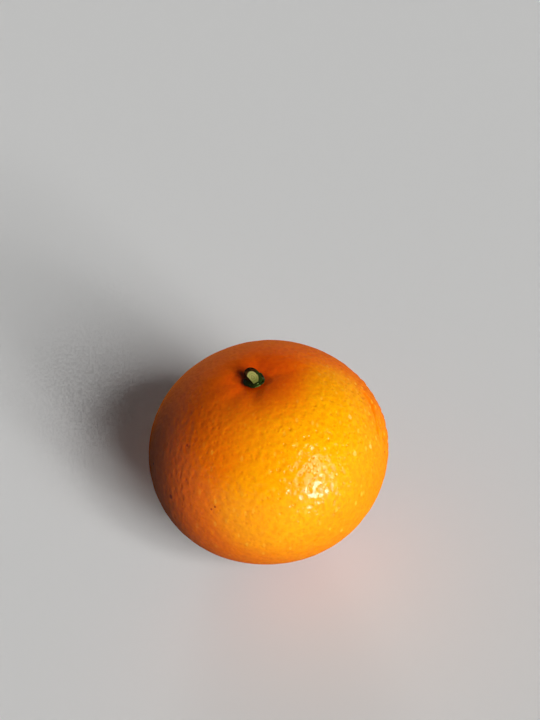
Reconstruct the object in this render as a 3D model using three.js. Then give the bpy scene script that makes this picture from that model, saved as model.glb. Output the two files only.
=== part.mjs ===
// A mandarin-type orange lying as it settles on a table: the fruit, the green calyx in the hollow of
// its stem end, and the short stub of stem that the picker's snips left on it.
//
// Millimetres, +Z up. The origin is on the surface that the fruit rests on, under the fruit's middle.
// The fruit's own axis, from blossom end to stem end, leans a few degrees from the vertical, because a
// fruit this shape settles on the flattest part of its base and not exactly on its blossom end.
import * as THREE from 'three';

const { degToRad, euclideanModulo, smoothstep } = THREE.MathUtils;

// ---- The fruit ----
const EQUATOR_RADIUS = 37.2;
const HALF_HEIGHT = 31.4; // middle to stem end, before the stem cavity is sunk into it
const LEAN = degToRad(8); // the stem end leans towards -X
const REST_DEPTH = 0.75; // how far the weight has flattened the base
const AROUND = 72; // facets around the axis
const ALONG = 48; // rows of facets from end to end
const CROWDING = 0.35; // how much closer the rows stand at the two ends than at the equator

// ---- The stem cavity and its furrows ----
const SEAT_RADIUS = 3.7; // the level floor that the calyx sits on
const CAVITY_DEPTH = 2.3;
const CAVITY_FLARE = 5.2; // the distance over which the wall climbs most of its height
const FURROW_START = 3; // how far outside the seat a furrow reaches its full depth
const FURROW_FADE = 7.5; // distance from the axis where furrows begin to run out
const FURROWS = [
  { azimuth: 14, depth: 0.42, width: 17, reach: 27 },
  { azimuth: 50, depth: 0.15, width: 13, reach: 18 },
  { azimuth: 80, depth: 0.24, width: 14, reach: 20 },
  { azimuth: 140, depth: 0.22, width: 15, reach: 20 },
  { azimuth: 182, depth: 0.28, width: 13, reach: 23 },
  { azimuth: 226, depth: 0.32, width: 16, reach: 21 },
  { azimuth: 272, depth: 0.28, width: 15, reach: 17 },
  { azimuth: 320, depth: 0.14, width: 16, reach: 16 },
];

// ---- The blossom end ----
const SCAR_RADIUS = 3.2; // the shallow dimple where the flower's style fell off
const SCAR_DEPTH = 0.7;

// ---- The calyx ----
const CALYX_RADIUS = 3.2;
const CALYX_LOBES = 5;
const LOBE_SHARE = 0.06; // how far the lobes reach in and out, as a share of the radius
const CALYX_EDGE = 0.35; // thickness at the lobes
const CALYX_BOSS_RADIUS = 2.4; // the raised middle that the stem grows from
const CALYX_HEIGHT = 0.6;

// ---- The stem stub ----
const STEM_RADIUS = 2.2;
const STEM_FOOT_RADIUS = 2.35;
const STEM_OFFSET = [-0.1, -0.3]; // a stem seldom leaves the very middle of its calyx
const STEM_HEIGHT = 1.55; // along the stub's middle
const STEM_LEAN = degToRad(12); // from the fruit's axis, towards -X
const CUT_SLOPE = degToRad(33); // the snips went through at this angle
const CUT_AZIMUTH = degToRad(-66); // the side that the cut faces

const GAP = 0.3; // left between pieces that touch

// How far the stem side lies below the plain crown, at a distance from the axis and an azimuth around it.
function cavitySink(distance, azimuth) {
  const wall = CAVITY_DEPTH * Math.exp(-Math.max(0, distance - SEAT_RADIUS) / CAVITY_FLARE);
  const furrows = FURROWS.reduce((sum, furrow) => {
    const turn = euclideanModulo(azimuth - degToRad(furrow.azimuth) + Math.PI, 2 * Math.PI) - Math.PI;
    const across = turn / degToRad(furrow.width);
    const run = 1 - smoothstep(distance, FURROW_FADE, furrow.reach);
    return sum + furrow.depth * Math.exp(-across * across) * run;
  }, 0);
  return wall + furrows * smoothstep(distance, SEAT_RADIUS, SEAT_RADIUS + FURROW_START);
}

// The gentle unevenness of a grown fruit: two shallow waves around its girth.
function unevenness(polar, azimuth) {
  const oval = 0.2 * Math.cos(2 * azimuth + 0.96);
  const sides = 0.12 * Math.sin(polar) * Math.cos(5 * azimuth - 1.1);
  return (oval + sides) * Math.sin(polar) ** 2;
}

// A point of the peel in the fruit's own frame, with the fruit's middle at the origin and its axis on Z.
function peelPoint(polar, azimuth) {
  const spheroid = 1 / Math.hypot(Math.sin(polar) / EQUATOR_RADIUS, Math.cos(polar) / HALF_HEIGHT);
  const radius = spheroid + unevenness(polar, azimuth);
  const point = new THREE.Vector3(
    radius * Math.sin(polar) * Math.cos(azimuth),
    radius * Math.sin(polar) * Math.sin(azimuth),
    radius * Math.cos(polar),
  );
  if (polar < Math.PI / 2) point.z -= cavitySink(radius * Math.sin(polar), azimuth);
  return point;
}

// The fruit: one solid, with its flesh inside it. Its rows are crowded towards the two ends, where the
// furrows and the rest spot are. Everything that would hang below the rest plane is pressed flat onto it.
function fruitGeometry() {
  const geometry = new THREE.SphereGeometry(1, AROUND, ALONG).rotateX(Math.PI / 2);
  const position = geometry.getAttribute('position');
  const direction = new THREE.Vector3();
  for (let i = 0; i < position.count; i += 1) {
    direction.fromBufferAttribute(position, i).normalize();
    const share = Math.acos(THREE.MathUtils.clamp(direction.z, -1, 1)) / Math.PI;
    const polar = Math.PI * share - (CROWDING / 2) * Math.sin(2 * Math.PI * share);
    const point = peelPoint(polar, Math.atan2(direction.y, direction.x));
    position.setXYZ(i, point.x, point.y, point.z);
  }
  geometry.rotateY(-LEAN);
  geometry.computeBoundingBox();
  const restPlane = geometry.boundingBox.min.z + REST_DEPTH;
  const blossomEnd = peelPoint(Math.PI, 0).applyAxisAngle(new THREE.Vector3(0, 1, 0), -LEAN);
  for (let i = 0; i < position.count; i += 1) {
    if (position.getZ(i) > restPlane) continue;
    const fromScar = Math.hypot(position.getX(i) - blossomEnd.x, position.getY(i) - blossomEnd.y);
    const dimple = SCAR_DEPTH * (1 - smoothstep(fromScar, 0, SCAR_RADIUS));
    position.setZ(i, restPlane + dimple);
  }
  return geometry;
}

// The calyx: a small button with five blunt lobes, thin at its rim and raised in the middle.
// Its underside is level, and the lobes show only outside the raised middle.
function calyxGeometry() {
  const profile = [
    [0, 0],
    [CALYX_BOSS_RADIUS, 0],
    [CALYX_RADIUS * 0.96, 0],
    [CALYX_RADIUS, CALYX_EDGE * 0.5],
    [CALYX_RADIUS * 0.96, CALYX_EDGE],
    [CALYX_BOSS_RADIUS, CALYX_HEIGHT * 0.85],
    [CALYX_BOSS_RADIUS * 0.92, CALYX_HEIGHT],
    [0, CALYX_HEIGHT],
  ].map(([x, y]) => new THREE.Vector2(x, y));
  const geometry = new THREE.LatheGeometry(profile, 12 * CALYX_LOBES).rotateX(Math.PI / 2);
  const position = geometry.getAttribute('position');
  for (let i = 0; i < position.count; i += 1) {
    const [x, y] = [position.getX(i), position.getY(i)];
    const outer = smoothstep(Math.hypot(x, y), CALYX_BOSS_RADIUS, CALYX_RADIUS);
    const stretch = 1 + outer * LOBE_SHARE * Math.cos(CALYX_LOBES * Math.atan2(y, x));
    position.setXY(i, x * stretch, y * stretch);
  }
  return geometry;
}

// The stem stub: a short round twig that swells at its foot and ends in a slanting cut.
function stemGeometry() {
  const profile = [
    [0, 0],
    [STEM_FOOT_RADIUS, 0],
    [STEM_FOOT_RADIUS * 0.97, STEM_HEIGHT * 0.12],
    [STEM_RADIUS * 1.03, STEM_HEIGHT * 0.35],
    [STEM_RADIUS, STEM_HEIGHT],
    [0, STEM_HEIGHT],
  ].map(([x, y]) => new THREE.Vector2(x, y));
  const geometry = new THREE.LatheGeometry(profile, 40).rotateX(Math.PI / 2);
  const position = geometry.getAttribute('position');
  for (let i = 0; i < position.count; i += 1) {
    const [x, y, z] = [position.getX(i), position.getY(i), position.getZ(i)];
    const towardsCut = x * Math.cos(CUT_AZIMUTH) + y * Math.sin(CUT_AZIMUTH);
    position.setZ(i, z - (z / STEM_HEIGHT) * Math.tan(CUT_SLOPE) * towardsCut);
  }
  return geometry;
}

function piece(name, geometry, colour, roughness) {
  const material = new THREE.MeshStandardMaterial({ color: colour, roughness, metalness: 0 });
  const mesh = new THREE.Mesh(geometry, material);
  mesh.name = name;
  return mesh;
}

// ---- Assembly ----
const orange = new THREE.Group();

const fruit = piece('fruit', fruitGeometry(), 0xf28a12, 0.38);
fruit.geometry.computeBoundingBox();
const box = fruit.geometry.boundingBox;
const toRest = new THREE.Vector3(-(box.min.x + box.max.x) / 2, -(box.min.y + box.max.y) / 2, -box.min.z);
fruit.position.copy(toRest);
orange.add(fruit);

// The calyx and the stem stand on the seat of the cavity, in a frame that leans with the fruit.
const stemEnd = new THREE.Group();
stemEnd.position.copy(toRest);
stemEnd.rotation.y = -LEAN;
orange.add(stemEnd);

const calyx = piece('calyx', calyxGeometry(), 0x3d4a1c, 0.5);
calyx.position.z = HALF_HEIGHT - CAVITY_DEPTH + GAP;
stemEnd.add(calyx);

const stem = piece('stem', stemGeometry(), 0x8d8d50, 0.7);
stem.rotation.y = -STEM_LEAN;
const stemFoot = calyx.position.z + CALYX_HEIGHT + GAP + STEM_FOOT_RADIUS * Math.sin(STEM_LEAN);
stem.position.set(...STEM_OFFSET, stemFoot);
stemEnd.add(stem);

export default orange;
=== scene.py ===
# A mandarin-type orange as picked: the fruit, the calyx in the hollow of its stem end, and the stub of
# stem that the snips left. It lies on a plain pale floor, in soft light from the right.
import math
import random

import bmesh
import bpy
from mathutils import Matrix, Vector, geometry, kdtree, noise
from mathutils.bvhtree import BVHTree


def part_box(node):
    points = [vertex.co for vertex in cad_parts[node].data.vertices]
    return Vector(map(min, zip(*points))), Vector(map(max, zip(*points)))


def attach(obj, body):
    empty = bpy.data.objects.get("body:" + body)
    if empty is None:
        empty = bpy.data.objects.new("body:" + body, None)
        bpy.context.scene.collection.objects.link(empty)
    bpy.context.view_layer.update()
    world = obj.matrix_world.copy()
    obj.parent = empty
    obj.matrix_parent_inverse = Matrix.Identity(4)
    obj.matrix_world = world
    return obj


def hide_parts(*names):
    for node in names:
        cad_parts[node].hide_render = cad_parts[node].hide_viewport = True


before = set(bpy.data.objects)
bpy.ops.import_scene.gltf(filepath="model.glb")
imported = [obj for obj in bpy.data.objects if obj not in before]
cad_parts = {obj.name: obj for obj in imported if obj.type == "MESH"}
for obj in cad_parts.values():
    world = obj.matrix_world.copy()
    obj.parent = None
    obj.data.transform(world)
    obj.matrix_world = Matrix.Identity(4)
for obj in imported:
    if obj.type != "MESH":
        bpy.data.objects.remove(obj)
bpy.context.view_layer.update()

# ---- Camera ----
# A 45 mm lens held a hand's length above the fruit and in front of it, looking down on the stem end.
# It looks past the fruit, so the fruit stands in the lower half of an upright frame.
MM = 0.001
LENS_MM = 45.0
LONG_SIDE_MM = 36.0  # the long side of the frame behind the lens
NEAREST_SEEN = 10 * MM
LOOKS_DOWN = math.radians(42.1)
CAMERA_FROM_MIDDLE = Vector((0.6, -189.5, 208.5)) * MM

fruit_low, fruit_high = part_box("fruit")
middle = (fruit_low + fruit_high) / 2

camera_data = bpy.data.cameras.new("camera")
camera_data.lens = LENS_MM
camera_data.sensor_width = LONG_SIDE_MM
camera_data.clip_start = NEAREST_SEEN
camera = bpy.data.objects.new("camera", camera_data)
camera.location = middle + CAMERA_FROM_MIDDLE
camera.rotation_euler = (math.pi / 2 - LOOKS_DOWN, 0, 0)
bpy.context.collection.objects.link(camera)
bpy.context.scene.camera = camera

# ---- Fruit ----
# The whole fruit as it grew: a tight waxy peel over the flesh, flattened at both ends, with a furrowed
# hollow around the stem. Oil glands dimple the peel all over, and it rests on a small flat spot.
FACET_WELD = 0.01 * MM
FACET_ANGLE = math.radians(30)
FACET_SKEW = math.radians(60)
PEEL_SMOOTHING = 0.5
PIT_SEED = 11
PIT_SPACING = 2.7 * MM
PIT_ROW_SHARE = 0.866  # evenly packed pits lie in rows this share of their spacing apart
PIT_SHAKE = 0.252  # how far a pit strays from even spacing, as a share of the spacing
PIT_RADIUS = (1.0 * MM, 1.5 * MM)
PIT_DEPTH = (0.08 * MM, 0.22 * MM)
PITS_IN_REACH = 3
SMOOTH_AROUND_STEM = (5 * MM, 20 * MM)  # pits fade in over this distance from the calyx
GRAIN_BY_STEM = 0.15  # what is left of the grain close to the calyx
GRAINY_SIDE = Vector((0.76, -0.58, 0.28)).normalized()  # the pits are deepest on this side
GRAIN_FAR_SIDE = 0.50  # what is left of the grain on the sides away from that one
GRAINY_SPREAD = (0.25, 0.88)  # cosines of the angles to that side between which they deepen
PEBBLE_SIZE = 3.0 * MM
PEBBLE_HEIGHT = 0.09 * MM
COBBLED_SHOULDER = Vector((0.93, 0.30, 0.25)).normalized()  # lumpy patch on the right shoulder
COBBLED_SPREAD = (0.80, 0.98)  # cosines of the angles to it between which the lumps rise
COBBLE_SIZE = 2.9 * MM
COBBLE_HEIGHT = 0.60 * MM
COBBLE_CROWN = 0.38  # how high a lump's middle stands, as a share of its height
COBBLE_FALL = 1.6  # how steeply a lump falls away to its edge
CREASE_MM = [(28.8, 3.6, 51.9), (31.1, 1.3, 49.0), (32.0, -3.2, 47.7), (32.4, -7.2, 45.8)]
CREASE_DEPTH = 0.6 * MM
CREASE_WIDTH = 1.0 * MM
CREASE_SHADE = 3.0  # the crease gets painted shade this many times as strong as a gland's dot
# Small raised bumps on the lit cheek; the colour gives each a painted glint.
GLINT_BUMPS_MM = [(29.6, -13.8, 46.8), (24.6, -18.7, 49.3), (23.5, -9.5, 54.6)]
GLINT_BUMP_RADIUS = 0.7 * MM
GLINT_BUMP_HEIGHT = 0.16 * MM
BLOSSOM_SCAR_RADIUS = 1.4 * MM  # the corky dot at the far end, where the flower's style fell off
BLOSSOM_SCAR_HEIGHT = 0.12 * MM
REST_RELIEF = 0.4 * MM  # the peel is pressed smooth this close to the floor

calyx_low, calyx_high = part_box("calyx")
stem_seat = (calyx_low + calyx_high) / 2
fruit_axis = (stem_seat - middle).normalized()


def smooth_step(value, start, end):
    """Runs smoothly from 0 to 1 as a value runs from start to end."""
    share = min(1.0, max(0.0, (value - start) / (end - start)))
    return share * share * (3 - 2 * share)


def moulded_fruit():
    """The frame's fruit, with its facets rounded off, as something to cast the peel against."""
    rounded = bpy.data.objects.new("mould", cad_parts["fruit"].data.copy())
    bpy.context.collection.objects.link(rounded)
    bm = bmesh.new()
    bm.from_mesh(rounded.data)
    bmesh.ops.remove_doubles(bm, verts=bm.verts, dist=FACET_WELD)
    bmesh.ops.join_triangles(
        bm, faces=bm.faces, angle_face_threshold=FACET_ANGLE, angle_shape_threshold=FACET_SKEW
    )
    bm.to_mesh(rounded.data)
    bm.free()
    rounding = rounded.modifiers.new("rounding", "SUBSURF")
    rounding.levels = rounding.render_levels = 2
    tree = BVHTree.FromObject(rounded, bpy.context.evaluated_depsgraph_get())
    bpy.data.objects.remove(rounded)
    return tree


def gland_pits(fruit_radius):
    """Oil glands spread evenly over the peel and then shaken: each a place, a radius and a depth."""
    shake = random.Random(PIT_SEED)
    peel_area = 4 * math.pi * fruit_radius * fruit_radius
    count = round(peel_area / (PIT_SPACING * PIT_SPACING * PIT_ROW_SHARE))
    golden = math.pi * (3 - math.sqrt(5))
    pits = []
    for i in range(count):
        height = 1 - 2 * (i + 0.5) / count
        ring = math.sqrt(1 - height * height)
        direction = Vector((ring * math.cos(golden * i), ring * math.sin(golden * i), height))
        stray = Vector((shake.gauss(0, 1), shake.gauss(0, 1), shake.gauss(0, 1))) * PIT_SHAKE
        direction = (direction + stray * PIT_SPACING / fruit_radius).normalized()
        place = mould.ray_cast(middle, direction)[0]
        pits.append((place, shake.uniform(*PIT_RADIUS), shake.uniform(*PIT_DEPTH)))
    return pits


def crease_share(place):
    """How deep in the crease of the right shoulder a place is, from 0 to 1."""
    nearest = CREASE_WIDTH
    for start, end in zip(crease, crease[1:]):
        along = geometry.intersect_point_line(place, start, end)[1]
        on_crease = start.lerp(end, min(1.0, max(0.0, along)))
        nearest = min(nearest, (place - on_crease).length)
    return 1 - smooth_step(nearest, 0, CREASE_WIDTH)


def peel_relief(place, outwards, nearby_pits):
    """How far the peel stands out at a place, how dark a gland makes it together with the painted shade
    of the crease, and its grain.

    The grain says how strong the pits and pebbles are there, from 0 to 1.
    """
    from_stem = (place - stem_seat).length
    grain = GRAIN_BY_STEM + (1 - GRAIN_BY_STEM) * smooth_step(from_stem, *SMOOTH_AROUND_STEM)
    grainy = smooth_step(outwards.dot(GRAINY_SIDE), *GRAINY_SPREAD)
    grain *= GRAIN_FAR_SIDE + (1 - GRAIN_FAR_SIDE) * grainy
    shoulder = smooth_step(outwards.dot(COBBLED_SHOULDER), *COBBLED_SPREAD)
    to_lump = noise.voronoi(place / COBBLE_SIZE)[0][0]
    cobbles = COBBLE_HEIGHT * shoulder * (COBBLE_CROWN - to_lump * to_lump * COBBLE_FALL)
    pebbles = noise.noise(place / PEBBLE_SIZE) * PEBBLE_HEIGHT
    gland = 0.0
    dent = 0.0
    for (_, radius, depth), distance in nearby_pits:
        if distance < radius:
            bowl = (1 - (distance / radius) ** 2) ** 2
            gland = max(gland, bowl)
            dent = max(dent, bowl * depth)
    in_crease = crease_share(place)
    height = (pebbles - dent) * grain + cobbles - CREASE_DEPTH * in_crease
    for glint_bump in glint_bumps:
        height += GLINT_BUMP_HEIGHT * (1 - smooth_step((place - glint_bump).length, 0, GLINT_BUMP_RADIUS))
    from_blossom = (place - blossom_end).length
    past_blossom = smooth_step(from_blossom, BLOSSOM_SCAR_RADIUS / 2, BLOSSOM_SCAR_RADIUS)
    height += BLOSSOM_SCAR_HEIGHT * (1 - past_blossom)
    flat = smooth_step(place.z, 0, REST_RELIEF)
    return height * flat, max(gland * grain, CREASE_SHADE * in_crease), grain * flat


def object_from(bm, name):
    """Makes an object of a shape, and returns it."""
    mesh = bpy.data.meshes.new(name)
    bm.to_mesh(mesh)
    bm.free()
    made = bpy.data.objects.new(name, mesh)
    bpy.context.collection.objects.link(made)
    return made


crease = [Vector(place) * MM for place in CREASE_MM]
glint_bumps = [Vector(place) * MM for place in GLINT_BUMPS_MM]
mould = moulded_fruit()
blossom_end = mould.ray_cast(middle, -fruit_axis)[0]
pits = gland_pits((fruit_high.x - fruit_low.x) / 2)
finder = kdtree.KDTree(len(pits))
for number, pit in enumerate(pits):
    finder.insert(pit[0], number)
finder.balance()

bm = bmesh.new()
bmesh.ops.create_icosphere(bm, subdivisions=6, radius=1.0)
bmesh.ops.subdivide_edges(bm, edges=bm.edges, cuts=2, use_grid_fill=True)
for vert in bm.verts:
    vert.co = mould.ray_cast(middle, vert.co.normalized())[0]
bmesh.ops.smooth_vert(
    bm, verts=bm.verts, factor=PEEL_SMOOTHING, use_axis_x=True, use_axis_y=True, use_axis_z=True
)
bm.normal_update()
gland_and_crease_layer = bm.verts.layers.float.new("gland")
grain_layer = bm.verts.layers.float.new("grain")
moves = []
for vert in bm.verts:
    nearby = [(pits[number], distance) for _, number, distance in finder.find_n(vert.co, PITS_IN_REACH)]
    height, vert[gland_and_crease_layer], vert[grain_layer] = peel_relief(vert.co, vert.normal, nearby)
    moves.append(vert.normal * height)
for vert, move in zip(bm.verts, moves):
    vert.co = vert.co + move
    vert.co.z = max(vert.co.z, 0.0)
for face in bm.faces:
    face.smooth = True
peel = object_from(bm, "peel")

# Painted light: on top of its real ripening, the peel is painted yellower towards the cheek that faces
# the lamps.
SUNNED_AND_LAMP_LIT_CHEEK = Vector((0.50, -0.71, 0.50)).normalized()
RIPENESS_AND_PAINTED_LIGHT = [  # from the side away from the sun and the lamps to the middle of the cheek that faces both; partly real ripening, partly painted light
    (0.20, (0.88, 0.175, 0.0, 1)),
    (0.45, (0.88, 0.145, 0.0, 1)),
    (0.62, (0.88, 0.138, 0.0, 1)),
    (0.69, (0.90, 0.156, 0.0, 1)),
    (0.75, (0.92, 0.188, 0.0, 1)),
    (0.81, (0.94, 0.222, 0.0, 1)),
    (0.875, (0.96, 0.290, 0.0, 1)),
    (0.94, (0.97, 0.365, 0.0, 1)),
    (1.00, (0.97, 0.435, 0.0, 1)),
]
RIPENESS_AND_PAINTED_LIGHT_SPAN = (-0.92, 1.08)  # how sunned and lamp-lit the peel is where those steps begin and end
UNEVEN_RIPENING = 0.16  # how far ripening strays from the side that faced the sun
UNEVEN_SCALE = 60  # this and the scales below are patches to a metre
BLOTCHES = [  # where it ripened a little ahead or behind: place in mm, radius in mm, tone, strength
    ((20.0, -3.0, 57.5), 12.0, (0.97, 0.50, 0.0, 1), 0.38),
    ((-1.0, -34.0, 42.0), 14.0, (0.97, 0.46, 0.0, 1), 0.40),
    ((28.0, -20.0, 26.0), 22.0, (0.94, 0.21, 0.0, 1), 0.45),
]
FRAY_SCALE = 1300
FRAY_WIDTH = 0.6 * MM  # how much the edges of blotches and spots waver
SPOT_EDGE = (1.25, 0.55)  # where a spot starts and where it is full, in shares of its radius
PORE_SPACING = 1.5 * MM
PORE_EDGE = (0.42, 0.05)  # where a pore starts and where it is deepest, in shares of the spacing
PORE_DEPTH = 0.11 * MM
GLAND_AND_CREASE_SHARE = 0.22  # how much of its tone a full gland takes on; the crease's painted shade takes up to three times as much
GLAND_AND_CREASE_TONE = (0.80, 0.62, 0.5, 1)
GOOSEBUMP_SIZE = 1.2 * MM
GOOSEBUMP_HEIGHT = 0.09 * MM
MOTTLE_SPAN = (0.66, 0.34)  # from the highs, which keep their colour, to the lows
MOTTLE_TONE = (0.94, 0.84, 0.84, 1)
# Painted glints: pale flecks on some glands, where they would catch the lamps.
PAINTED_GLINT_SPACING = 1.8 * MM
PAINTED_GLINT_SHAPE = (1.0, 0.6, 0.45)  # the painted glints are drawn out from front to back and upwards
PAINTED_GLINT_EDGE = (0.312, 0.12)  # where a painted glint starts and where it is full, in shares of the spacing
PAINTED_GLINT_CHANCE = (0.3, 0.95)  # only some glands get a painted glint, and few of them fully
PAINTED_GLINT_STRENGTH = 0.85
PAINTED_GLINT_SPREAD = (0.15, 0.60)  # cosines of the angles to the lit cheek between which the painted glints fade in
PAINTED_GLINT = (1.0, 0.48, 0.03, 1)
STEM_TINTS_AND_SHADE = [  # place from the calyx, where a tint ends and where it is full, its tone
    (Vector((4.0, -0.5, 0.0)) * MM, (19.0 * MM, 3.0 * MM), (0.96, 0.57, 1, 1)),
    # painted shade where the hollow closes on the calyx
    (Vector((0.0, 0.0, 0.0)) * MM, (5.0 * MM, 3.0 * MM), (0.62, 0.42, 0.4, 1)),
]
DARK_SPECKS_MM = [  # place, radius
    ((-15.8, -31.4, 40.2), 0.36),
    ((-14.7, -31.4, 41.3), 0.30),
    ((-28.0, -23.3, 35.8), 0.75),
    ((-22.9, -16.5, 50.4), 0.50),
    ((34.8, -9.4, 39.6), 0.40),
    ((-34.2, -11.5, 36.7), 0.45),
    ((-20.0, 27.0, 44.0), 0.50),
    ((12.0, 34.0, 26.0), 0.40),
    ((33.0, 12.0, 22.0), 0.35),
]
DARK_SPECK = (0.30, 0.02, 0.0, 1)
DARK_SPECK_STRENGTH = 0.85
# Painted glint: pale yellow on each small raised bump, as if it caught the lamps.
PAINTED_BUMP_GLINT = (1.0, 0.62, 0.12, 1)
PAINTED_BUMP_GLINT_STRENGTH = 0.65
BLOSSOM_RING_RADIUS = 2.6 * MM
BLOSSOM_RING = (0.70, 0.26, 0.01, 1)
BLOSSOM_RING_STRENGTH = 0.4
BLOSSOM_SCAR = (0.16, 0.075, 0.02, 1)
BLOSSOM_SCAR_STRENGTH = 0.9
DEEP_FURROWS_MM = [(-8.7, 1.6, 59.1), (-0.2, -0.4, 60.0)]  # beside the calyx, on its left and right
FURROW_SHADE_RADIUS = 2.0 * MM
FURROW_SHADE = (0.30, 0.035, 0.0, 1)
FURROW_SHADE_STRENGTH = 0.5
WAX_SCALE = 2200
WAX_RELIEF = 0.004 * MM


def start_finish(name):
    """A new finish: its material, its nodes, its links and its shader."""
    finish = bpy.data.materials.new(name)
    finish.use_nodes = True
    tree = finish.node_tree
    return finish, tree.nodes, tree.links, tree.nodes["Principled BSDF"]


def measure(operation, place, other):
    """Works out a number or a place from two places."""
    step = nodes.new("ShaderNodeVectorMath")
    step.operation = operation
    step.inputs[1].default_value = other
    links.new(place, step.inputs[0])
    return step.outputs["Value" if operation in ("DOT_PRODUCT", "DISTANCE") else "Vector"]


def join(operation, first, second):
    """Joins two shares into one."""
    step = nodes.new("ShaderNodeMath")
    step.operation = operation
    links.new(first, step.inputs[0])
    links.new(second, step.inputs[1])
    return step.outputs["Value"]


def fade(value, span, ends=(0.0, 1.0), way="SMOOTHSTEP"):
    """Runs between two ends as a value runs over a span, and stays level outside it."""
    share = nodes.new("ShaderNodeMapRange")
    share.interpolation_type = way
    share.inputs["From Min"].default_value = span[0]
    share.inputs["From Max"].default_value = span[1]
    share.inputs["To Min"].default_value = ends[0]
    share.inputs["To Max"].default_value = ends[1]
    links.new(value, share.inputs["Value"])
    return share.outputs["Result"]


def patches(scale, detail):
    """Soft uneven patches all over a piece."""
    texture = nodes.new("ShaderNodeTexNoise")
    texture.inputs["Scale"].default_value = scale
    texture.inputs["Detail"].default_value = detail
    links.new(on_piece, texture.inputs["Vector"])
    return texture


def dots(place, spacing, shake):
    """Scattered dots: how far off the nearest one is, and a chance colour for each."""
    texture = nodes.new("ShaderNodeTexVoronoi")
    texture.feature = "F1"
    texture.inputs["Scale"].default_value = 1 / spacing
    texture.inputs["Randomness"].default_value = shake
    links.new(place, texture.inputs["Vector"])
    return texture


def colour_steps(share, steps):
    """A colour that goes through the steps, each a position and a tone."""
    ramp = nodes.new("ShaderNodeValToRGB")
    marks = ramp.color_ramp.elements
    marks[0].position, marks[0].color = steps[0]
    marks[1].position, marks[1].color = steps[-1]
    for position, tone in steps[1:-1]:
        marks.new(position).color = tone
    links.new(share, ramp.inputs["Fac"])
    return ramp.outputs["Color"]


def tint(colour, tone, share, blend="MULTIPLY"):
    """Tints a colour with a tone, as far as the share says, and returns the new colour."""
    mix = nodes.new("ShaderNodeMix")
    mix.data_type = "RGBA"
    mix.blend_type = blend
    mix.inputs["B"].default_value = tone
    links.new(share, mix.inputs["Factor"])
    links.new(colour, mix.inputs["A"])
    return mix.outputs["Result"]


def cover(colour, tone, share):
    """Covers a colour with a tone, as far as the share says, and returns the new colour."""
    return tint(colour, tone, share, blend="MIX")


def add_spot(colour, place, radius, tone, strength):
    """Lays one uneven spot of another tone over a colour, and returns the new colour."""
    edge = (radius * SPOT_EDGE[0], radius * SPOT_EDGE[1])
    share = fade(measure("DISTANCE", ragged, place), edge, ends=(0.0, strength))
    return cover(colour, tone, share)


def painted(name):
    """What was stored on the piece's mesh under a name."""
    stored = nodes.new("ShaderNodeAttribute")
    stored.attribute_name = name
    return stored.outputs["Fac"]


def relief(height, depth, below=None, invert=False):
    """Lets light fall as if the surface rose by depth, on top of the relief below, and returns that."""
    bump = nodes.new("ShaderNodeBump")
    bump.invert = invert
    bump.inputs["Strength"].default_value = 1.0
    bump.inputs["Distance"].default_value = depth
    links.new(height, bump.inputs["Height"])
    if below:
        links.new(below, bump.inputs["Normal"])
    return bump.outputs["Normal"]


peel_finish, nodes, links, shader = start_finish("waxy_orange_peel")
on_piece = nodes.new("ShaderNodeTexCoord").outputs["Object"]

# Ripe yellow-orange on the cheek that faced the sun, made yellower still by painted light where it
# faces the lamps, and deeper orange round the stem and on the far side.
towards = nodes.new("ShaderNodeVectorMath")
towards.operation = "NORMALIZE"
links.new(measure("SUBTRACT", on_piece, middle), towards.inputs[0])
sunned_and_lit_side = measure("DOT_PRODUCT", towards.outputs["Vector"], SUNNED_AND_LAMP_LIT_CHEEK)
uneven = nodes.new("ShaderNodeMath")
uneven.operation = "MULTIPLY_ADD"
uneven.inputs[1].default_value = UNEVEN_RIPENING
links.new(patches(UNEVEN_SCALE, detail=4).outputs["Fac"], uneven.inputs[0])
links.new(sunned_and_lit_side, uneven.inputs[2])
skin_colour = colour_steps(fade(uneven.outputs["Value"], RIPENESS_AND_PAINTED_LIGHT_SPAN, way="LINEAR"), RIPENESS_AND_PAINTED_LIGHT)

# Blotches and spots have frayed edges.
fray = nodes.new("ShaderNodeVectorMath")
fray.operation = "MULTIPLY_ADD"
fray.inputs[1].default_value = (FRAY_WIDTH, FRAY_WIDTH, FRAY_WIDTH)
links.new(patches(FRAY_SCALE, detail=2).outputs["Color"], fray.inputs[0])
links.new(on_piece, fray.inputs[2])
ragged = fray.outputs["Vector"]
half_fray = Vector((FRAY_WIDTH, FRAY_WIDTH, FRAY_WIDTH)) / 2
for place, radius, tone, strength in BLOTCHES:
    skin_colour = add_spot(skin_colour, Vector(place) * MM, radius * MM, tone, strength)

# The glands show through the wax as slightly darker dots, and make the fine pits. The crease gets
# painted shade in the same tone.
grain = painted("grain")
small_pit = fade(dots(on_piece, PORE_SPACING, shake=0.9).outputs["Distance"], PORE_EDGE)
pit_depth = join("MULTIPLY", small_pit, grain)
# the stored gland share also carries the painted shade of the crease
either = join("MAXIMUM", pit_depth, painted("gland"))
gland_and_crease_share = nodes.new("ShaderNodeMath")
gland_and_crease_share.operation = "MULTIPLY"
gland_and_crease_share.inputs[1].default_value = GLAND_AND_CREASE_SHARE
links.new(either, gland_and_crease_share.inputs[0])
skin_colour = tint(skin_colour, GLAND_AND_CREASE_TONE, gland_and_crease_share.outputs["Value"])

# Between the glands the skin is finely mottled, deeper in the lows and paler on the highs.
goosebumps = patches(1 / GOOSEBUMP_SIZE, detail=1).outputs["Fac"]
skin_colour = tint(skin_colour, MOTTLE_TONE, fade(goosebumps, MOTTLE_SPAN, way="LINEAR"))

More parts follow.
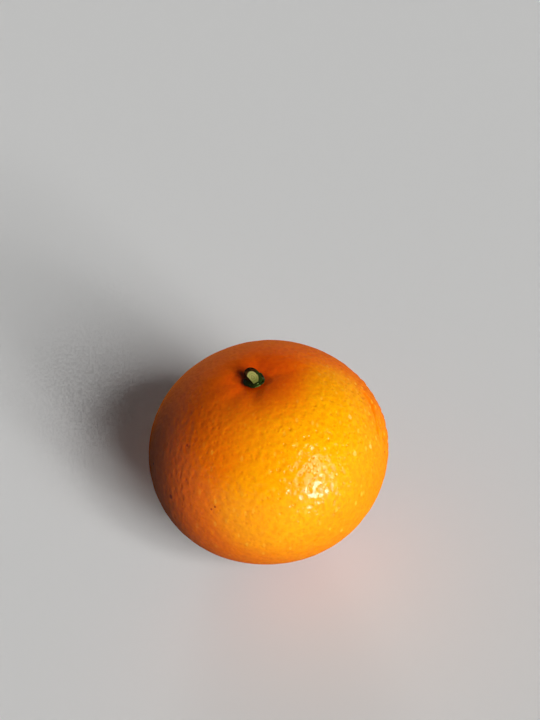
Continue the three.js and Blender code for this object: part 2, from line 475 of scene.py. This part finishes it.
# Painted glints: here and there a full gland gets a pale fleck, a little longer than wide, as if it
# caught the lamps, fading in towards the lit cheek.
painted_glints = dots(measure("MULTIPLY", on_piece, PAINTED_GLINT_SHAPE), PAINTED_GLINT_SPACING, shake=1.0)
painted_glint = fade(painted_glints.outputs["Distance"], PAINTED_GLINT_EDGE)
chance = fade(painted_glints.outputs["Color"], PAINTED_GLINT_CHANCE, ends=(0.0, PAINTED_GLINT_STRENGTH))
grainy_and_lit = join("MULTIPLY", grain, fade(sunned_and_lit_side, PAINTED_GLINT_SPREAD))
painted_glint_share = join("MULTIPLY", join("MULTIPLY", painted_glint, chance), grainy_and_lit)
skin_colour = cover(skin_colour, PAINTED_GLINT, painted_glint_share)

# The peel is a deeper orange on the shoulder, and darkened by painted shade where the hollow closes on
# the calyx.
for offset, reach, tone in STEM_TINTS_AND_SHADE:
    near_stem = fade(measure("DISTANCE", on_piece, stem_seat + offset), reach)
    skin_colour = tint(skin_colour, tone, near_stem)

# Small dark specks where the growing fruit was scratched or bitten, and pale painted glints on the
# small raised bumps. The corky dot at the far end has a paler ring, and the furrows beside the calyx
# get painted shade.
spots = [
    (Vector(place) * MM, radius * MM, DARK_SPECK, DARK_SPECK_STRENGTH)
    for place, radius in DARK_SPECKS_MM
]
spots += [(glint_bump, GLINT_BUMP_RADIUS, PAINTED_BUMP_GLINT, PAINTED_BUMP_GLINT_STRENGTH) for glint_bump in glint_bumps]
spots.append((blossom_end, BLOSSOM_RING_RADIUS, BLOSSOM_RING, BLOSSOM_RING_STRENGTH))
spots.append((blossom_end, BLOSSOM_SCAR_RADIUS, BLOSSOM_SCAR, BLOSSOM_SCAR_STRENGTH))
spots += [
    (Vector(place) * MM, FURROW_SHADE_RADIUS, FURROW_SHADE, FURROW_SHADE_STRENGTH)
    for place in DEEP_FURROWS_MM
]
for place, radius, tone, strength in spots:
    skin_colour = add_spot(skin_colour, place + half_fray, radius, tone, strength)
links.new(skin_colour, shader.inputs["Base Color"])

# The relief shows in the wax as well as in the skin under it.
skin_relief = relief(pit_depth, PORE_DEPTH, invert=True)
skin_relief = relief(goosebumps, GOOSEBUMP_HEIGHT, below=skin_relief)
skin_relief = relief(patches(WAX_SCALE, detail=2).outputs["Fac"], WAX_RELIEF, below=skin_relief)
links.new(skin_relief, shader.inputs["Normal"])
links.new(skin_relief, shader.inputs["Coat Normal"])

shader.inputs["Roughness"].default_value = 0.45
shader.inputs["Specular IOR Level"].default_value = 0.0
shader.inputs["Coat Weight"].default_value = 0.08
shader.inputs["Coat Roughness"].default_value = 0.12
shader.inputs["Coat IOR"].default_value = 3.0
shader.inputs["Subsurface Weight"].default_value = 0.35
shader.inputs["Subsurface Radius"].default_value = (1.0, 0.5, 0.2)
shader.inputs["Subsurface Scale"].default_value = 0.9 * MM
peel.data.materials.append(peel_finish)
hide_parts("fruit")
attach(peel, "root")

# ---- Calyx ----
# The green button that joined the flower to its stalk. It is tough and slightly glossy, with five blunt
# lobes that lie in the hollow, and it grew with the fruit, so nothing fastens it.
CALYX_RINGS_MM = [  # radius and height of its rings, from the underside over the rim to the top
    (1.5, -0.25), (2.6, -0.15), (3.05, 0.05), (3.2, 0.26), (3.05, 0.44),
    (2.75, 0.50), (2.5, 0.50), (2.42, 0.66), (2.28, 0.72), (2.1, 0.66),
]
CALYX_SIDES = 60
CALYX_WELD = 0.001 * MM
TOP_DIP = 0.04 * MM  # the middle of the top lies this far below its last ring
COLLAR_RADIUS = 2.2 * MM
LOBES = 5
LOBE_TURN = math.radians(-18)
LOBE_REACH = 0.04  # how far a lobe reaches out, as a share of the radius
LOBE_RISE = 0.25 * MM
RAGGED_REACH = 0.07  # how uneven the rim is, as a share of the radius
RAGGED_SIZE = 1.1 * MM
RAGGED_START = Vector((5, 2, 7))
KNOB_SIZE = 0.9 * MM
KNOB_HEIGHT = 0.35 * MM
KNOB_START = Vector((1, 8, 3))
KNOBS_FROM = (1.8 * MM, 2.3 * MM)  # the knobs rise over this distance from the middle
UPPER_SIDE = 0.1 * MM
GREENS = [(0.38, (0.005, 0.006, 0.001, 1)), (0.72, (0.045, 0.080, 0.008, 1))]
MOTTLE_SCALE = 900
LEFT_SHADE_SPAN = (0.6 * MM, -2.2 * MM)  # painted shade: the left lobes are painted nearly black, the right ones stay green
LEFT_SHADE = (0.004, 0.003, 0.001, 1)
WRINKLE_DEPTH = 0.05 * MM
RIGHT_TO_LEFT_ROUGHNESS = (0.18, 0.7)

calyx_points = [v.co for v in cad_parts["calyx"].data.vertices]
seat_height = min((point - middle).dot(fruit_axis) for point in calyx_points)
seat = middle + fruit_axis * seat_height
calyx_radius = (calyx_high.y - calyx_low.y) / 2
upright = Vector((0, 0, 1)).rotation_difference(fruit_axis).to_matrix().to_4x4()
stem_end = Matrix.Translation(seat) @ upright

# Of two discs, one stays as the underside and the other is drawn out, ring by ring, to the top.
bm = bmesh.new()
radius, height = CALYX_RINGS_MM[0]
for _ in range(2):
    bmesh.ops.create_circle(bm, cap_ends=True, segments=CALYX_SIDES, radius=radius * MM)
bmesh.ops.translate(bm, vec=(0, 0, height * MM), verts=bm.verts)
underside, top = bm.faces
for next_radius, next_height in CALYX_RINGS_MM[1:]:
    widen = next_radius / radius
    top = bmesh.ops.extrude_discrete_faces(bm, faces=[top])["faces"][0]
    bmesh.ops.scale(bm, vec=(widen, widen, 1), verts=top.verts)
    bmesh.ops.translate(bm, vec=(0, 0, (next_height - height) * MM), verts=top.verts)
    radius, height = next_radius, next_height
bmesh.ops.poke(bm, faces=[underside])
top_middle = bmesh.ops.poke(bm, faces=[top])["verts"][0]
top_middle.co.z -= TOP_DIP
bmesh.ops.remove_doubles(bm, verts=bm.verts, dist=CALYX_WELD)
bmesh.ops.recalc_face_normals(bm, faces=bm.faces)
for vert in bm.verts:
    from_middle = math.hypot(vert.co.x, vert.co.y)
    outer = smooth_step(from_middle, COLLAR_RADIUS, calyx_radius)
    turn = math.atan2(vert.co.y, vert.co.x)
    lobe = math.cos(LOBES * (turn - LOBE_TURN))
    uneven = noise.noise(vert.co / RAGGED_SIZE + RAGGED_START)
    stretch = 1 + outer * (LOBE_REACH * lobe + RAGGED_REACH * uneven)
    vert.co.x *= stretch
    vert.co.y *= stretch
    if vert.co.z > UPPER_SIDE:
        knobs = noise.noise(vert.co / KNOB_SIZE + KNOB_START) * smooth_step(from_middle, *KNOBS_FROM)
        vert.co.z += outer * LOBE_RISE * max(0, lobe) + knobs * KNOB_HEIGHT
bmesh.ops.transform(bm, matrix=stem_end, verts=bm.verts)
for face in bm.faces:
    face.smooth = True
calyx = object_from(bm, "calyx_button")
calyx_rounding = calyx.modifiers.new("rounding", "SUBSURF")
calyx_rounding.levels = calyx_rounding.render_levels = 2

calyx_finish, nodes, links, shader = start_finish("green_calyx")
on_piece = nodes.new("ShaderNodeTexCoord").outputs["Object"]
mottle = patches(MOTTLE_SCALE, detail=4).outputs["Fac"]
sideways = nodes.new("ShaderNodeSeparateXYZ")
links.new(measure("SUBTRACT", on_piece, seat), sideways.inputs["Vector"])
# Painted shade: the calyx is painted nearly black towards its left, away from the lamps, and is rougher
# there.
left_shade = fade(sideways.outputs["X"], LEFT_SHADE_SPAN)
links.new(cover(colour_steps(mottle, GREENS), LEFT_SHADE, left_shade), shader.inputs["Base Color"])
links.new(relief(mottle, WRINKLE_DEPTH), shader.inputs["Normal"])
gloss = fade(left_shade, (0.0, 1.0), ends=RIGHT_TO_LEFT_ROUGHNESS, way="LINEAR")
links.new(gloss, shader.inputs["Roughness"])
shader.inputs["Specular IOR Level"].default_value = 0.3
shader.inputs["Specular Tint"].default_value = (0.75, 1.0, 0.35, 1)
calyx.data.materials.append(calyx_finish)
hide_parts("calyx")
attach(calyx, "root")

# ---- Stem stub ----
# What the picker's snips left of the stalk: a short green twig in thin dark bark, cut at a slant, with
# pale wood and a dot of pith in the cut. A first bite of the snips took a slice off its front left.
TWIG_RADIUS = 2.28 * MM
TWIG_FOOT_RADIUS = 2.4 * MM
TWIG_SIDES = 64
TWIG_BLANK = 6 * MM  # its length before it is cut
TWIG_BLANK_MIDDLE = 2.4 * MM
TWIG_OFFSET = Vector((0.0, -0.35, 0.75)) * MM  # the twig's foot, from the calyx's seat
TWIG_LEAN = math.radians(12)
TWIG_HEIGHT = 1.2 * MM  # from its foot to the middle of the cut
CUT_SLOPE = math.radians(40)
CUT_AZIMUTH = math.radians(-66)
BITE_AZIMUTH = math.radians(-127)
BITE_SLOPE = math.radians(72)
BITE_FROM_MIDDLE = 0.95 * MM
WOOD_RADIUS = 1.66 * MM
WOOD_MIDDLE = Vector((0.06, -0.05)) * MM  # the bark is thickest on the left of it
BARK_LIP = 0.12 * MM  # how far the bark stands above the cut wood
BARK_LIP_TAPER = 0.985  # the lip closes in to this share as it goes down to the wood
WOOD_RING_SHARES = (0.84, 0.66, 0.48, 0.32, 0.18, 0.08)
WOOD_RING_RISE = 0.012 * MM
FACES_THE_CUT = 0.85  # wood is turned from the cut's direction by less than the angle of this cosine
WOOD_REACH = 1.03  # and lies within this share of the wood's radius
WORN_EDGE = 0.06 * MM
WORN_EDGE_ANGLE = math.radians(35)
FIBRE_SCALE = 1500
FIBRE_DEPTH = 0.05 * MM
RING_WAVER = 0.20
WOOD_RINGS = [  # from the pith to the bark
    (0.12, (0.10, 0.09, 0.020, 1)),
    (0.24, (0.30, 0.29, 0.085, 1)),
    (0.36, (0.17, 0.165, 0.04, 1)),
    (0.50, (0.33, 0.31, 0.090, 1)),
    (0.66, (0.23, 0.225, 0.055, 1)),
    (0.92, (0.35, 0.32, 0.100, 1)),
    (1.00, (0.17, 0.15, 0.040, 1)),
]
GREENER_TOWARDS = Vector((0.45, -0.80, -0.40)).normalized()  # the cut wood is greener at its low end
GREENER_SPAN = (-0.6 * MM, 1.9 * MM)
GREENER_WOOD = (0.40, 0.45, 0.30, 1)
BARK = [(0.35, (0.003, 0.001, 0.0, 1)), (0.75, (0.050, 0.018, 0.004, 1))]
GREEN_BARK = (0.012, 0.026, 0.003, 1)  # the bark is still green on its right side
GREEN_BARK_SPAN = (0.5 * MM, 1.5 * MM)


def facing(azimuth, slope):
    """The way that a cut faces, from where it slopes down to and how steeply."""
    aside = math.sin(slope)
    return Vector((math.cos(azimuth) * aside, math.sin(azimuth) * aside, math.cos(slope)))


def slice_twig(bm, place, towards):
    """Cuts the twig through a place, drops what is on the side it faces, and returns the fresh face."""
    geom = bm.verts[:] + bm.edges[:] + bm.faces[:]
    cut = bmesh.ops.bisect_plane(bm, geom=geom, plane_co=place, plane_no=towards, clear_outer=True)
    edges = [e for e in cut["geom_cut"] if isinstance(e, bmesh.types.BMEdge)]
    return bmesh.ops.edgeloop_fill(bm, edges=edges)["faces"][0]


def ring_inside(bm, face, share, rise, shift=Vector((0, 0, 0))):
    """Draws a smaller copy of a face inside it, moved and raised or sunk, and returns the copy."""
    inner = bmesh.ops.extrude_discrete_faces(bm, faces=[face])["faces"][0]
    centre = inner.calc_center_median()
    bmesh.ops.scale(bm, vec=(share, share, share), space=Matrix.Translation(-centre), verts=inner.verts)
    bmesh.ops.translate(bm, vec=inner.normal * rise + shift, verts=inner.verts)
    return inner


cut_middle = Vector((0, 0, TWIG_HEIGHT))
cut_towards = facing(CUT_AZIMUTH, CUT_SLOPE)
bite_towards = facing(BITE_AZIMUTH, BITE_SLOPE)
bite_across = Vector((math.cos(BITE_AZIMUTH), math.sin(BITE_AZIMUTH), 0)) * BITE_FROM_MIDDLE
bite_place = cut_middle + bite_across
bite_place.z -= cut_towards.dot(bite_across) / cut_towards.z
wood_shift = Vector((WOOD_MIDDLE.x, WOOD_MIDDLE.y, 0))
wood_shift.z = -cut_towards.dot(wood_shift) / cut_towards.z

bm = bmesh.new()
bmesh.ops.create_cone(
    bm,
    cap_ends=True,
    segments=TWIG_SIDES,
    radius1=TWIG_FOOT_RADIUS,
    radius2=TWIG_RADIUS,
    depth=TWIG_BLANK,
)
bmesh.ops.translate(bm, verts=bm.verts, vec=(0, 0, TWIG_BLANK_MIDDLE))
cut_face = slice_twig(bm, cut_middle, cut_towards)
cut_face = ring_inside(bm, cut_face, WOOD_RADIUS / TWIG_RADIUS, 0, wood_shift)
cut_face = ring_inside(bm, cut_face, BARK_LIP_TAPER, -BARK_LIP)
outer_ring = 1.0
for ring in WOOD_RING_SHARES:
    cut_face = ring_inside(bm, cut_face, ring / outer_ring, WOOD_RING_RISE)
    outer_ring = ring
bmesh.ops.poke(bm, faces=[cut_face])
slice_twig(bm, bite_place, bite_towards)
bmesh.ops.recalc_face_normals(bm, faces=bm.faces)
wood_layer = bm.loops.layers.float.new("wood")
across_layer = bm.loops.layers.float.new("across")
for face in bm.faces:
    spans = [(vert.co.xy - WOOD_MIDDLE).length / WOOD_RADIUS for vert in face.verts]
    is_wood = face.normal.dot(cut_towards) > FACES_THE_CUT and max(spans) < WOOD_REACH
    for loop, span in zip(face.loops, spans):
        loop[wood_layer] = 1.0 if is_wood else 0.0
        loop[across_layer] = span
foot = stem_end @ Matrix.Translation(TWIG_OFFSET) @ Matrix.Rotation(-TWIG_LEAN, 4, "Y")
bmesh.ops.transform(bm, matrix=foot, verts=bm.verts)
stub = object_from(bm, "stem_stub")
stub_edges = stub.modifiers.new("worn_edges", "BEVEL")
stub_edges.width = WORN_EDGE
stub_edges.segments = 2
stub_edges.angle_limit = WORN_EDGE_ANGLE

stub_finish, nodes, links, shader = start_finish("cut_green_wood_and_bark")
on_piece = nodes.new("ShaderNodeTexCoord").outputs["Object"]
fibres = patches(FIBRE_SCALE, detail=4).outputs["Fac"]
ring_place = nodes.new("ShaderNodeMath")
ring_place.operation = "MULTIPLY_ADD"
ring_place.inputs[1].default_value = RING_WAVER
links.new(fibres, ring_place.inputs[0])
links.new(painted("across"), ring_place.inputs[2])
from_cut = measure("SUBTRACT", on_piece, foot @ cut_middle)
greener = fade(measure("DOT_PRODUCT", from_cut, GREENER_TOWARDS), GREENER_SPAN)
wood_colour = tint(colour_steps(ring_place.outputs["Value"], WOOD_RINGS), GREENER_WOOD, greener)
cut_sideways = nodes.new("ShaderNodeSeparateXYZ")
links.new(from_cut, cut_sideways.inputs["Vector"])
still_green = fade(cut_sideways.outputs["X"], GREEN_BARK_SPAN)
bark_colour = cover(colour_steps(fibres, BARK), GREEN_BARK, still_green)
stub_colour = nodes.new("ShaderNodeMix")
stub_colour.data_type = "RGBA"
links.new(painted("wood"), stub_colour.inputs["Factor"])
links.new(bark_colour, stub_colour.inputs["A"])
links.new(wood_colour, stub_colour.inputs["B"])
links.new(stub_colour.outputs["Result"], shader.inputs["Base Color"])
links.new(relief(fibres, FIBRE_DEPTH), shader.inputs["Normal"])
shader.inputs["Roughness"].default_value = 0.6
shader.inputs["Specular IOR Level"].default_value = 0.06
stub.data.materials.append(stub_finish)
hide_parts("stem")
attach(stub, "root")

# ---- Floor and light ----
# A plain pale floor. The lamps stand far off on the right: three small ones low down, a tall wide one
# behind them and two high ones. One more stands low behind the fruit, and the room adds a little.
FLOOR_HALF_WIDTH = 3.0
FLOOR_SEEN = (0.78, 0.78, 0.77, 1)
FLOOR_LIGHTING = (0.10, 0.10, 0.10, 1)  # how pale the floor is to the light that it throws on the fruit
ROOM_HEIGHTS = (0.05, 0.55)  # the room goes from pale to dark between these heights of the view
ROOM_SEEN = (0.50, 0.10)
ROOM_LIGHTING = 0.025


def seen_or_mirrored():
    """1 for what is seen straight, through glass or in a gloss, and 0 for light thrown on a piece."""
    ray = nodes.new("ShaderNodeLightPath")
    seen = join("MAXIMUM", ray.outputs["Is Camera Ray"], ray.outputs["Is Transmission Ray"])
    return join("MAXIMUM", seen, ray.outputs["Is Glossy Ray"])


def soft_lamp(name, azimuth, elevation, spread, level, mirrored):
    """A far lamp that looks as wide as spread. Azimuth goes from the camera's side to the right."""
    data = bpy.data.lights.new(name, "SUN")
    data.angle = math.radians(spread)
    data.energy = level * math.pi
    lamp = bpy.data.objects.new(name, data)
    flat = math.cos(math.radians(elevation))
    towards_lamp = Vector(
        (
            math.sin(math.radians(azimuth)) * flat,
            -math.cos(math.radians(azimuth)) * flat,
            math.sin(math.radians(elevation)),
        )
    )
    lamp.location = middle + towards_lamp
    lamp.rotation_euler = towards_lamp.to_track_quat("Z", "Y").to_euler()
    lamp.visible_glossy = mirrored
    lamp.visible_camera = False
    bpy.context.collection.objects.link(lamp)


bm = bmesh.new()
bmesh.ops.create_grid(bm, x_segments=1, y_segments=1, size=FLOOR_HALF_WIDTH)
floor = object_from(bm, "floor")
floor_finish, nodes, links, shader = start_finish("pale_floor")
floor_tone = nodes.new("ShaderNodeMix")
floor_tone.data_type = "RGBA"
floor_tone.inputs["A"].default_value = FLOOR_LIGHTING
floor_tone.inputs["B"].default_value = FLOOR_SEEN
links.new(seen_or_mirrored(), floor_tone.inputs["Factor"])
links.new(floor_tone.outputs["Result"], shader.inputs["Base Color"])
shader.inputs["Roughness"].default_value = 0.9
shader.inputs["Specular IOR Level"].default_value = 0.2
floor.data.materials.append(floor_finish)

# Each lamp's azimuth, elevation and width in degrees, and how brightly it lights what faces it.
soft_lamp("low_lamp_left", 35, 12, 7.2, 0.185, mirrored=True)
soft_lamp("low_lamp_right", 45, 15, 7.2, 0.185, mirrored=True)
soft_lamp("low_lamp_below", 40, 5, 7.2, 0.185, mirrored=True)
soft_lamp("high_lamp", 50, 42, 10, 0.10, mirrored=True)
soft_lamp("tall_lamp", 42, 27, 36, 0.34, mirrored=True)
soft_lamp("broad_lamp", 38, 32, 30, 0.52, mirrored=False)
soft_lamp("back_lamp", 186, 2, 20, 0.78, mirrored=False)

# The room is pale behind the floor and darker overhead. Almost none of its light falls on the fruit.
world = bpy.data.worlds.new("studio")
world.use_nodes = True
nodes = world.node_tree.nodes
links = world.node_tree.links
view_way = nodes.new("ShaderNodeTexCoord")
view_height = nodes.new("ShaderNodeSeparateXYZ")
links.new(view_way.outputs["Generated"], view_height.inputs["Vector"])
room = fade(view_height.outputs["Z"], ROOM_HEIGHTS, ends=ROOM_SEEN)
room_level = nodes.new("ShaderNodeMix")
room_level.inputs["A"].default_value = ROOM_LIGHTING
links.new(seen_or_mirrored(), room_level.inputs["Factor"])
links.new(room, room_level.inputs["B"])
links.new(room_level.outputs["Result"], nodes["Background"].inputs["Strength"])
nodes["Background"].inputs["Color"].default_value = (1, 1, 1, 1)
bpy.context.scene.world = world
bpy.context.scene.view_settings.view_transform = "Standard"
